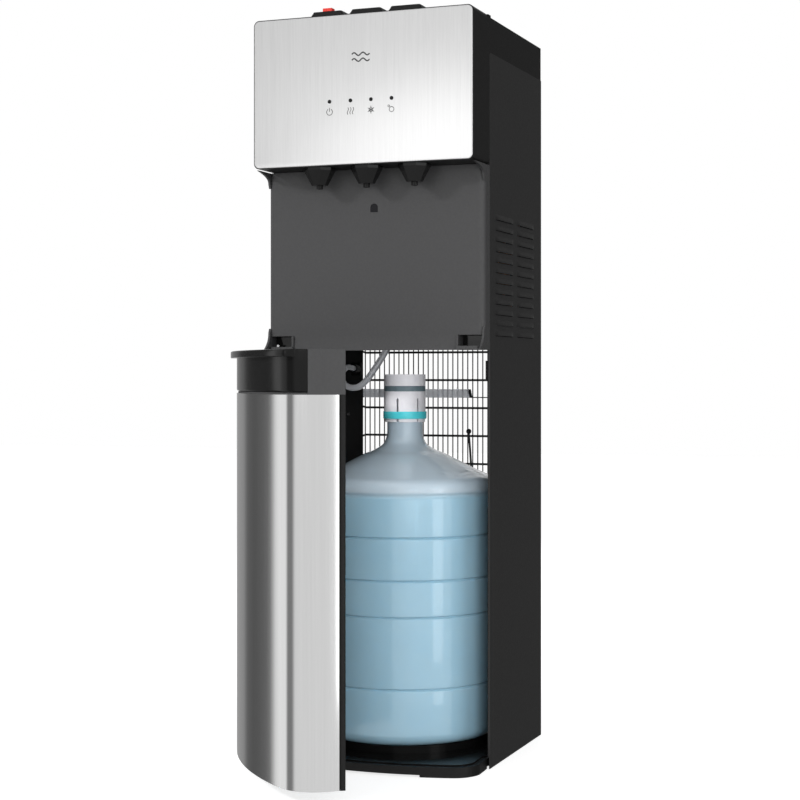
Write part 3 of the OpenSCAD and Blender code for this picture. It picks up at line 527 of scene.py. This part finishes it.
def add_hose():
    """The clear suction hose from its gland in the deck to its parked fitting."""
    points = spline([[MM * c for c in p] for p in HOSE_ROUTE], 5)
    data = bpy.data.curves.new("bottle_hose", "CURVE")
    data.dimensions = "3D"
    data.bevel_depth = HOSE_RADIUS
    data.bevel_resolution = 5
    data.use_fill_caps = True
    line = data.splines.new("POLY")
    line.points.add(len(points) - 1)
    for target, point in zip(line.points, points):
        target.co = (*point, 1)
    line.use_smooth = True
    hose = bpy.data.objects.new("bottle_hose", data)
    bpy.context.scene.collection.objects.link(hose)
    data.materials.append(LOOKS["clear_tube"].material)
    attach(hose, "cabinet")
    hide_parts("suction_hose")


# ---- Door ----


def dee(inset, back=0.0):
    """Outline [(x, depth)] of the door from its left rear round the bowed front to its right rear."""
    x = DOOR_WIDTH / 2 - DOOR_CORNER
    bow = DOOR_DEPTH - DOOR_BOW
    depth = bow + math.sqrt((DOOR_BOW - DOOR_CORNER) ** 2 - x * x)
    lean = math.degrees(math.atan2(x, depth - bow))
    cut = math.degrees(math.asin(max(0, back - depth) / (DOOR_CORNER - inset)))
    points = arc((-x, depth), DOOR_CORNER - inset, 180 - cut, 90 + lean, 28)
    points += arc((0, bow), DOOR_BOW - inset, 90 + lean, 90 - lean, 56)[1:]
    points += arc((x, depth), DOOR_CORNER - inset, 90 - lean, cut, 28)[1:]
    if back < depth:
        points = [(-DOOR_WIDTH / 2 + inset, back)] + points + [(DOOR_WIDTH / 2 - inset, back)]
    return points


SWING = (Matrix.Translation(DOOR_PIVOT) @ Matrix.Rotation(DOOR_OPEN, 4, "Z")
         @ Matrix.Translation(-DOOR_PIVOT))


def on_door(x, depth, z):
    """A point of the closed door, turned to where the door stands open."""
    return SWING @ Vector((x, DOOR_REAR - depth, z))


def rolled(outline, inset, roll):
    """The outline with both its ends turned inwards on a small radius."""
    half = outline[-1][0]
    centre = outline[0][1] + roll
    radius = roll - inset
    left = arc((radius - half, centre), radius, 270, 180, 8)
    right = arc((half - radius, centre), radius, 0, -90, 8)
    return left + outline[1:-1] + right


def add_door_skin():
    """Stainless sheet wrapped round the door, its edges folded in behind."""
    thick = 1.2 * MM
    roll = 3.2 * MM
    outer = rolled(dee(0, SKIN_REAR), 0, roll)
    inner = rolled(dee(thick, SKIN_REAR), thick, roll)
    low, high = SKIN_LOW.z, SKIN_HIGH.z
    rings = []
    for (x0, d0), (x1, d1) in zip(outer, inner):
        rings.append([on_door(x0, d0, low), on_door(x0, d0, high),
                      on_door(x1, d1, high), on_door(x1, d1, low)])
    skin = add_mesh("door_front_skin", *loft(rings), "door", "brushed_stainless",
                    EXTRA["satin_stainless"], bevel=0.35 * MM, crease=50)
    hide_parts("door_skin")


def add_drip_tray():
    """Gloss tray in the top of the door: a well, closed side lobes and a rim that overhangs in front."""
    seam = 48 * MM
    well = DOOR_WIDTH / 2 - 38 * MM
    rear = 5 * MM
    rim = 8.5 * MM
    wall = 2.5 * MM
    top = TRAY_HIGH.z
    low = TRAY_LOW.z
    rim_low = top - 9.5 * MM
    rim_end = 140 * MM
    fade = 9 * MM
    floor = low + wall

    def plan(inset, reach=0.0):
        """Outline inset all round, with the front moved out by reach between the rim's rounded ends."""
        body = dee(inset, seam + inset)
        wide = dee(inset - reach, seam + inset)
        points = []
        for (x, d), (wx, wd) in zip(body, wide):
            share = min(1, max(0, (rim_end - abs(x)) / fade))
            share = share * share * (3 - 2 * share)
            points.append((x + (wx - x) * share, d + (wd - d) * share))
        x = well - inset
        return points + [(x, seam + inset), (x, rear + inset), (-x, rear + inset), (-x, seam + inset)]

    def mouth(inset):
        """Outline of the well inset by a distance, with a point for each of the plan's."""
        reach = well - inset
        return [(min(reach, max(-reach, x)), d) for x, d in plan(inset)]

    outside = [
        (2.2 * MM, 0, low), (0.9 * MM, 0, low + 0.3 * MM), (0.2 * MM, 0, low + 1.1 * MM),
        (0, 0, low + 2.4 * MM), (0, 0, rim_low - 0.1 * MM), (0, 0, rim_low), (0, rim - 1 * MM, rim_low),
        (0, rim - 0.2 * MM, rim_low + 0.4 * MM), (0, rim, rim_low + 1.2 * MM), (0, rim, top - 1.6 * MM),
        (0, rim - 0.5 * MM, top - 0.5 * MM), (0.3 * MM, rim - 1.6 * MM, top)]
    rings = [[on_door(x, d, z) for x, d in plan(inset, reach)] for inset, reach, z in outside]
    inside = [(wall - 1.4 * MM, top), (wall - 0.4 * MM, top - 0.3 * MM), (wall, top - 1.2 * MM),
              (wall, floor + 1.5 * MM), (wall + 0.5 * MM, floor + 0.4 * MM), (wall + 1.5 * MM, floor)]
    rings += [[on_door(x, d, z) for x, d in mouth(inset)] for inset, z in inside]
    post_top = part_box("drip_grille")[0].z - 0.3 * MM
    posts = []
    for x in (-106 * MM, 106 * MM):
        for depth in (14 * MM, 66 * MM):
            foot = arc((x, depth), 4 * MM, 0, 360 - 360 / 20, 19)
            posts.append(loft([[on_door(px, pd, z) for px, pd in foot] for z in (floor, post_top)]))
    tray = add_mesh("drip_tray_shell", *merged(loft(rings), *posts), "tray", "gloss_black", crease=50)
    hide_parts("drip_tray")


# ---- Bottle ----


# Four narrow ribs and one wide groove run round the bottle's side
RIB_HEIGHTS = (104 * MM, 203 * MM, 253 * MM, 312 * MM)
GROOVE_HEIGHT = 370 * MM
SHOULDER_HEIGHT = 376 * MM
BOTTLE_WALL = 1.6 * MM
# Shoulder and neck of the bottle: [(radius, height)] in millimetres
SLOPE = [(105, 400), (85, 410), (60, 422.5), (46, 428), (34, 435), (29, 441), (26.4, 449), (25.7, 456),
         (25.7, 470)]


def groove(radius, height, sink, reach, steps, sharpness=1.0):
    """Part of a half-profile: a groove sink deep that reaches that far up and down, in steps each way."""
    points = []
    for k in range(-steps, steps + 1):
        depth = sink * (0.5 + 0.5 * math.cos(math.pi * k / steps)) ** sharpness
        points.append((radius - depth, height + reach * k / steps))
    return points


def bottle_profile(inset):
    """Half-profile [(radius, height)] of the bottle from its base to its neck, inset by the wall."""
    z0 = BOTTLE_LOW.z
    r = BOTTLE_RADIUS - inset
    foot = 16 * MM
    bend = 26 * MM
    points = [(0.2 * MM, z0 + 5 * MM + inset), (90 * MM, z0 + 5 * MM + inset),
              (99 * MM, z0 + 2 * MM + inset), (106 * MM, z0 + inset)]
    points += arc((r - foot, z0 + foot + inset), foot, -84, 0, 10)
    for height in RIB_HEIGHTS:
        points += groove(r, height, 3 * MM, 3 * MM, 6, 1.6)
    points += groove(r, GROOVE_HEIGHT, 2.2 * MM, 4.5 * MM, 5)
    for angle in range(6, 61, 6):
        turn = math.radians(angle)
        points.append((r - bend + bend * math.cos(turn), SHOULDER_HEIGHT + 20 * MM * math.sin(turn)))
    shoulder = spline([(x * MM - inset, z * MM - (inset / 2 if z < 440 else 0), 0) for x, z in SLOPE], 4)
    return points + [(p.x, p.y) for p in shoulder]


def add_bottle():
    """Ribbed five-gallon bottle of tinted polycarbonate."""
    profile = bottle_profile(0) + bottle_profile(BOTTLE_WALL)[::-1]
    bottle = add_mesh("bottle_shell", *lathe(profile, BOTTLE_AXIS, 144), "bottle", "bottle_blue", crease=60)
    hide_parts("bottle")


def add_water():
    """The water in the bottle, flat on top."""
    side = [(x, z) for x, z in bottle_profile(2.2 * MM) if z < WATER_LEVEL - 1 * MM]
    rim = side[-1][0]
    profile = side + [(rim, WATER_LEVEL - 0.6 * MM), (rim - 0.8 * MM, WATER_LEVEL), (0.2 * MM, WATER_LEVEL)]
    water = add_mesh("water_fill", *lathe(profile, BOTTLE_AXIS, 144), "bottle", "water", crease=60)
    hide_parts("water")


# Sections [(radius, height)] in millimetres of the bands round the cap
CAP_SEAL = [(31.05, 473.8), (31.3, 474.4), (31.35, 479), (31.3, 483.6), (31.05, 484.2), (30.6, 484.2),
            (30.6, 473.8)]
CAP_RING = [(29.3, 513.2), (29.75, 513.6), (29.75, 520.4), (29.3, 520.8), (28.9, 520.8), (28.9, 513.2)]


def add_cap_bands():
    """Teal tamper band and slate ring round the bottle's cap."""
    for name, section, slot, look in (("cap_seal", CAP_SEAL, "blue_plastic", "seal_teal"),
                                      ("cap_ring", CAP_RING, "grille_grey", "ring_slate")):
        profile = [(x * MM, z * MM) for x, z in section]
        add_mesh(name, *lathe(profile, BOTTLE_AXIS, 96), "bottle", slot, EXTRA[look])


# ---- Head ----


def add_head_front():
    """Stainless front panel with a rolled edge."""
    width = HEAD_HIGH.x - HEAD_LOW.x
    height = HEAD_HIGH.z - HEAD_LOW.z
    middle_z = (HEAD_LOW.z + HEAD_HIGH.z) / 2
    roll = 1.2 * MM
    corner = 7.5 * MM
    levels = [(0, HEAD_HIGH.y)]
    for k in range(7):
        turn = math.radians(15 * k)
        levels.append((roll * (1 - math.cos(turn)), HEAD_LOW.y + roll * (1 - math.sin(turn))))
    rings = []
    for inset, y in levels:
        outline = rounded_rect(width - 2 * inset, height - 2 * inset, corner - inset, 10)
        rings.append([(x, y, middle_z + z) for x, z in outline])
    front = add_mesh("head_front", *loft(rings), "cabinet", "brushed_stainless", crease=60)
    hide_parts("head_front_panel")


# The ink stands out of the head's front by this much and reaches as far into it
INK_THICK = 0.06 * MM
ICON_HEIGHT = 895.5 * MM
ICON_PITCH = 30 * MM
ICON_LINE = 0.85 * MM
WAVES_HEIGHT = 968 * MM
WAVES_APART = 8 * MM
WAVES_LINE = 1.8 * MM


def stroke(points, width):
    """A flat printed line along points [(x, z)] on the head's front."""
    near = HEAD_LOW.y - INK_THICK
    far = HEAD_LOW.y + INK_THICK
    rings = []
    for i, (x, z) in enumerate(points):
        a = Vector(points[max(i - 1, 0)])
        b = Vector(points[min(i + 1, len(points) - 1)])
        along = (b - a).normalized()
        side = Vector((-along.y, along.x)) * width / 2
        rings.append([(x - side.x, far, z - side.y), (x + side.x, far, z + side.y),
                      (x + side.x, near, z + side.y), (x - side.x, near, z - side.y)])
    return loft(rings)


def wave(centre, length, height, count, upright):
    """A wavy line of count waves through a centre, upright or level."""
    points = []
    steps = 23
    for k in range(steps + 1):
        t = k / steps - 0.5
        swing = height * math.sin(2 * math.pi * count * t)
        points.append((centre[0] + swing, centre[1] + t * length) if upright
                      else (centre[0] + t * length, centre[1] + swing))
    return points


def add_icons():
    """Generic printed signs under the four indicators, and two plain waves above them."""
    z = ICON_HEIGHT
    power_x = -1.5 * ICON_PITCH - 1 * MM
    heat_x, frost_x, refill_x = (k * ICON_PITCH for k in (-0.5, 0.5, 1.5))
    power = [arc((power_x, z), 4.3 * MM, 120, 420, 20), [(power_x, z + 0.4 * MM), (power_x, z + 5.8 * MM)]]
    heat = [wave((heat_x + dx, z), 9.5 * MM, 0.9 * MM, 1, True) for dx in (-3.8 * MM, 0, 3.8 * MM)]
    frost = []
    for angle in (90, 150, 210):
        dx = 5.2 * MM * math.cos(math.radians(angle))
        dz = 5.2 * MM * math.sin(math.radians(angle))
        frost.append([(frost_x - dx, z - dz), (frost_x + dx, z + dz)])
    frost.append(arc((frost_x, z), 2.6 * MM, 0, 360, 18))
    refill = [arc((refill_x, z - 1 * MM), 3.4 * MM, 0, 360, 20),
              arc((refill_x - 4 * MM, z + 3.6 * MM), 1.3 * MM, 0, 360, 12)]
    lines = [stroke(points, ICON_LINE) for points in power + heat + frost + refill]
    for wave_z in (WAVES_HEIGHT + WAVES_APART / 2, WAVES_HEIGHT - WAVES_APART / 2):
        lines.append(stroke(wave((0, wave_z), 26 * MM, 2 * MM, 2, False), WAVES_LINE))
    add_mesh("front_icons", *merged(*lines), "cabinet", "nozzle_black", EXTRA["icon_ink"])


# ---- Cabinet ----


# The slots in the side panels: where each row starts and the two spans of Y that it covers
LOUVRE_ROWS = 12
LOUVRE_PITCH = 14.5 * MM
LOUVRE_LOW = 590 * MM
SLOT_HEIGHT = 3.6 * MM
LOUVRE_ENDS = ((-97.5 * MM, -16.5 * MM), (2.5 * MM, 83.5 * MM))


def louvre(side, y0, y1, low):
    """One pressed louvre over a slot: a hood that swells out and tapers into the sheet at both ends."""
    across = 14
    down = 7
    bulge = 1.7 * MM
    thick = 0.7 * MM
    top = low + SLOT_HEIGHT + 4.2 * MM
    outer = []
    inner = []
    for i in range(across + 1):
        t = i / across
        y = y0 + (y1 - y0) * t
        swell = max(0.0, 1 - abs(2 * t - 1) ** 7)
        for k in range(down + 1):
            s = k / down
            z = top + (low + 0.6 * MM - top) * s
            out = bulge * swell * math.sin(math.pi / 2 * s) ** 1.4
            outer.append((side * (CAB_HALF + out + 0.02 * MM), y, z))
            inner.append((side * (CAB_HALF + max(out - thick, -thick)), y, z))
    count = down + 1
    faces = []
    base = len(outer)
    for i in range(across):
        for k in range(down):
            a = i * count + k
            faces.append((a, a + 1, a + 1 + count, a + count))
            faces.append((base + a, base + a + count, base + a + 1 + count, base + a + 1))
    for i in range(across):
        lower = i * count + down
        upper = i * count
        faces.append((lower, base + lower, base + lower + count, lower + count))
        faces.append((upper, upper + count, base + upper + count, base + upper))
    for k in range(down):
        for edge in (k, across * count + k):
            faces.append((edge, edge + 1, base + edge + 1, base + edge))
    return outer + inner, faces


def add_louvres():
    """Two columns of louvres on each side panel."""
    for side, name in ((-1, "left_louvres"), (1, "right_louvres")):
        hoods = []
        for row in range(LOUVRE_ROWS):
            for y0, y1 in LOUVRE_ENDS:
                hoods.append(louvre(side, y0, y1, LOUVRE_LOW + LOUVRE_PITCH * row))
        add_mesh(name, *merged(*hoods), "cabinet", "black_steel")


def block(low, high):
    """Vertices and faces of a box from its low to its high corner."""
    rings = [[(low[0], low[1], z), (high[0], low[1], z), (high[0], high[1], z), (low[0], high[1], z)]
             for z in (low[2], high[2])]
    return loft(rings)


def add_pocket_shade_panels():
    """Dark panels of painted shade on the back wall of the two corner pockets under the splash panel."""
    low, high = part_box("hinge_pockets")
    inner_x = 124.1 * MM
    wall = high.y - 3 * MM
    panels = []
    for side in (-1, 1):
        x0, x1 = sorted((side * inner_x, side * (high.x - 0.3 * MM)))
        panels.append(block((x0, wall - 0.4 * MM, low.z + 5.6 * MM),
                            (x1, wall + 0.2 * MM, high.z - 0.2 * MM)))
    add_mesh("pocket_shade_panels", *merged(*panels), "cabinet", "black_plastic", EXTRA["painted_shade_black"])


def add_louvre_shade_strips():
    """Dark strips of painted shade inside the side panels, behind the lowest louvres."""
    y0 = LOUVRE_ENDS[0][0] - 1.5 * MM
    y1 = LOUVRE_ENDS[-1][1] + 2.5 * MM
    strips = []
    for side in (-1, 1):
        x0, x1 = sorted((side * (CAB_HALF - 6 * MM), side * (CAB_HALF - 5.4 * MM)))
        strips.append(block((x0, y0, LOUVRE_LOW - 6 * MM), (x1, y1, LOUVRE_LOW + 10 * MM)))
    add_mesh("louvre_shade_strips", *merged(*strips), "cabinet", "black_plastic", EXTRA["painted_shade_black"])


def add_strap_hook():
    """Hook at the strap's end with a thin wire on to the side panel's flange."""
    strap_low, strap_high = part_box("tie_strap")
    end = strap_high.x
    y0, y1 = strap_low.y + 3 * MM, strap_high.y + 0.6 * MM
    hook = []
    for x0, x1, z in ((end - 3 * MM, end + 1 * MM, strap_high.z),
                      (end - 1 * MM, end + 3.5 * MM, strap_low.z)):
        hook.append([(x0, y0, z), (x1, y0, z), (x1, y1, z), (x0, y1, z)])
    ring = arc(((y0 + y1) / 2, strap_low.z + 0.6 * MM), 0.8 * MM, 0, 324, 9)
    wire = [[(x, y, z) for y, z in ring] for x in (end + 2 * MM, CAB_HALF - 33 * MM)]
    add_mesh("strap_hook", *merged(loft(hook), loft(wire)), "cabinet", "condenser_black")


# ---- Build ----

LOOKS = make_looks()
EXTRA = extra_looks()


def finish_nodes():
    """Gives every CAD node the finish of its slot."""
    for node in NODES.values():
        for place in node.material_slots:
            place.material = LOOKS[place.material.name.split(".")[0]].material


def add_lights():
    """Soft studio lights from the front, the right, above and behind."""
    add_light("softbox", (-0.80, -3.4, 1.10), (0, -0.2, 0.90), (1.5, 0.9), 5)
    add_light("key", (-1.75, -1.95, 1.85), (0, -0.1, 0.75), (0.3, 0.3), 42, mirrored=False)
    add_light("front_fill", (1.5, -2.6, 0.75), (0, -0.1, 0.40), (0.9, 1.2), 31, mirrored=False)
    add_light("bottle_strip", (1.9, -1.1, 0.55), (0, -0.05, 0.4), (0.5, 1.6), 5)
    add_light("top", (0.1, -0.1, 2.7), (0, 0, 0.5), (1.6, 1.6), 10, mirrored=False)
    add_light("rear", (0, 2.8, 1.3), (0, 0, 0.6), (1.2, 1.6), 16, mirrored=False)


def build():
    add_camera()
    add_world()
    add_floor()
    add_lights()
    bpy.context.scene.view_settings.view_transform = "Standard"
    finish_nodes()
    add_hose()
    add_door_skin()
    add_drip_tray()
    add_bottle()
    add_water()
    add_cap_bands()
    add_head_front()
    add_icons()
    add_louvres()
    add_pocket_shade_panels()
    add_louvre_shade_strips()
    add_strap_hook()


build()
